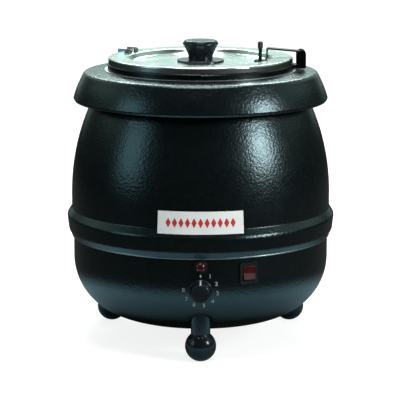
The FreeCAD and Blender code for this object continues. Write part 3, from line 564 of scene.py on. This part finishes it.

# %% [markdown]
# ## The rolled lower edge
#
# The belly's sheet ends in a small roll just above the bowl, and that roll draws the thin light
# line under the bead; its pale grey colour makes that line partly a painted highlight. A bevelled
# curve could make it, but a small circle spun round the axis is one operator and closes on itself.
# Its place is measured on the belly's own lowest ring of points.

# %% Roll under the bead
ROLL_RADIUS = 1.2 * MM
ROLL_SIDES = 12
ROLL_STEPS = 160
EDGE_BAND = 0.3 * MM
belly_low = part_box("body_shell")[0].z
edge_reach = max(math.hypot(v.co.x, v.co.y) for v in nodes["body_shell"].data.vertices
                 if v.co.z < belly_low + EDGE_BAND)
shape = bmesh.new()
upright = Matrix.Rotation(math.radians(90), 4, "X")
place = Matrix.Translation((edge_reach, 0, belly_low + ROLL_RADIUS)) @ upright
bmesh.ops.create_circle(shape, segments=ROLL_SIDES, radius=ROLL_RADIUS, matrix=place)
bmesh.ops.spin(shape, geom=shape.verts[:] + shape.edges[:], axis=(0, 0, 1), angle=math.tau,
               steps=ROLL_STEPS, use_merge=True)
bmesh.ops.recalc_face_normals(shape, faces=shape.faces[:])
for face in shape.faces:
    face.smooth = True
# The pale grey roll is partly a painted highlight under the bead.
keep(shape, "belly_roll", finishes["edge_grey"], "kettle")
print("belly's lower edge at", round(edge_reach / MM, 2), "mm, level", round(belly_low / MM, 2))

# %% [markdown]
# ## Numbers round the dial
#
# The scale is printed straight on the black bowl: plain numbers in a ring and a mark at the top
# for off. The bowl is round both ways there, so each number is made a mesh, put in its place and
# then pressed along the view onto the bowl with a ray, like a transfer smoothed down by hand. A
# Shrinkwrap modifier would pull the strokes sideways; a ray keeps them as they look from the front.

# %% The scale's sizes and its ink
print_pale = moulded("print_pale", colour=(0.36, 0.41, 0.41), tint=(0.44, 0.49, 0.49),
                     gloss=(0.4, 0.55), grain_size=0.8 * MM, grain_depth=0.02 * MM)
knob_low, knob_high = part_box("dial_knob")
dial_level = (knob_low.z + knob_high.z) / 2
DIAL_SWEEP = 270.0
SCALE_RADIUS = 20.8 * MM
NUMBERS = 8
NUMBER_SIZE = 7.4 * MM
MARK = (1.7 * MM, 3.2 * MM)
MARK_RADIUS = 18.0 * MM
INK = 0.16 * MM
WELD = 0.01 * MM
RAY_START = -1.0

print("dial's axis at level", round(dial_level / MM, 1), "mm")

# %% Pressing a flat shape onto the bowl
bowl = nodes["base_bowl"].data
bowl_tree = BVHTree.FromPolygons([v.co for v in bowl.vertices], [p.vertices[:] for p in bowl.polygons])


def press_on_bowl(shape):
    """Move every point along +Y to just in front of the bowl, then extrude the ink back onto it."""
    for vert in shape.verts:
        hit = bowl_tree.ray_cast(Vector((vert.co.x, RAY_START, vert.co.z)), Vector((0, 1, 0)))[0]
        vert.co.y = hit.y - INK
    backs = bmesh.ops.extrude_face_region(shape, geom=shape.faces[:])["geom"]
    back_points = [item for item in backs if isinstance(item, bmesh.types.BMVert)]
    bmesh.ops.translate(shape, verts=back_points, vec=(0, INK, 0))
    bmesh.ops.recalc_face_normals(shape, faces=shape.faces[:])


print("bowl's faces for the ray", len(bowl.polygons))

# %% Scale on the bowl
def number_mesh(number):
    """One number as a flat mesh, centred on the origin."""
    letters = bpy.data.curves.new("scale_number", "FONT")
    letters.body = str(number)
    letters.size = NUMBER_SIZE
    letters.align_x, letters.align_y = "CENTER", "CENTER"
    holder = bpy.data.objects.new("scale_number", letters)
    mesh = bpy.data.meshes.new_from_object(holder)
    bpy.data.objects.remove(holder)
    return mesh


shape = bmesh.new()
for number in range(1, NUMBERS + 1):
    angle = math.radians(number * DIAL_SWEEP / NUMBERS)
    across, above = SCALE_RADIUS * math.sin(angle), SCALE_RADIUS * math.cos(angle)
    mesh = number_mesh(number)
    mesh.transform(Matrix.Translation((across, 0, dial_level + above)) @ upright)
    shape.from_mesh(mesh)
off_mark = Matrix.Translation((0, 0, dial_level + MARK_RADIUS)) @ upright @ Matrix.Diagonal((*MARK, 1, 1))
bmesh.ops.create_grid(shape, x_segments=1, y_segments=3, size=0.5, matrix=off_mark)
bmesh.ops.remove_doubles(shape, verts=shape.verts[:], dist=WELD)
press_on_bowl(shape)
keep(shape, "dial_scale", print_pale, "kettle")

# %% [markdown]
# ## The pointer
#
# The turning knob shows its setting with a pale rib along its grip and a mark on its skirt. Two
# stretched cubes with bevelled edges are enough at this size. They ride on the dial, so they turn
# with it. GRIP_TOP is how far the grip's top line lies from the dial's axis, at the skirt and at
# the tip.

# %% Pointer on the dial
RIB_WIDTH = 2.0 * MM
RIB_HEIGHT = 0.7 * MM
RIB_END_GAP = 1.0 * MM
SKIRT_HEIGHT = 4.0 * MM
SKIRT_EDGE_GAP = 0.5 * MM
SKIRT_MARK_DEPTH = 0.3 * MM
GRIP_TOP = (12.2 * MM, 11.2 * MM)
POINTER_BEVEL = 0.1 * MM

skirt_face = knob_high.y - SKIRT_HEIGHT
grip_length = skirt_face - knob_low.y
rise = math.atan2(GRIP_TOP[0] - GRIP_TOP[1], grip_length)
mark_low = dial_level + GRIP_TOP[0]
mark_high = knob_high.z - SKIRT_EDGE_GAP

shape = bmesh.new()
rib_size = Matrix.Diagonal((RIB_WIDTH, grip_length - 2 * RIB_END_GAP, RIB_HEIGHT, 1))
rib_place = Matrix.Translation((0, (skirt_face + knob_low.y) / 2, dial_level + sum(GRIP_TOP) / 2))
bmesh.ops.create_cube(shape, size=1.0, matrix=rib_place @ Matrix.Rotation(rise, 4, "X") @ rib_size)
mark_size = Matrix.Diagonal((RIB_WIDTH, SKIRT_MARK_DEPTH, mark_high - mark_low, 1))
mark_place = Matrix.Translation((0, skirt_face, (mark_low + mark_high) / 2))
bmesh.ops.create_cube(shape, size=1.0, matrix=mark_place @ mark_size)
bmesh.ops.bevel(shape, geom=shape.edges[:], offset=POINTER_BEVEL, segments=2, profile=0.5, affect="EDGES",
                material=-1)
keep(shape, "dial_pointer", print_pale, "dial")
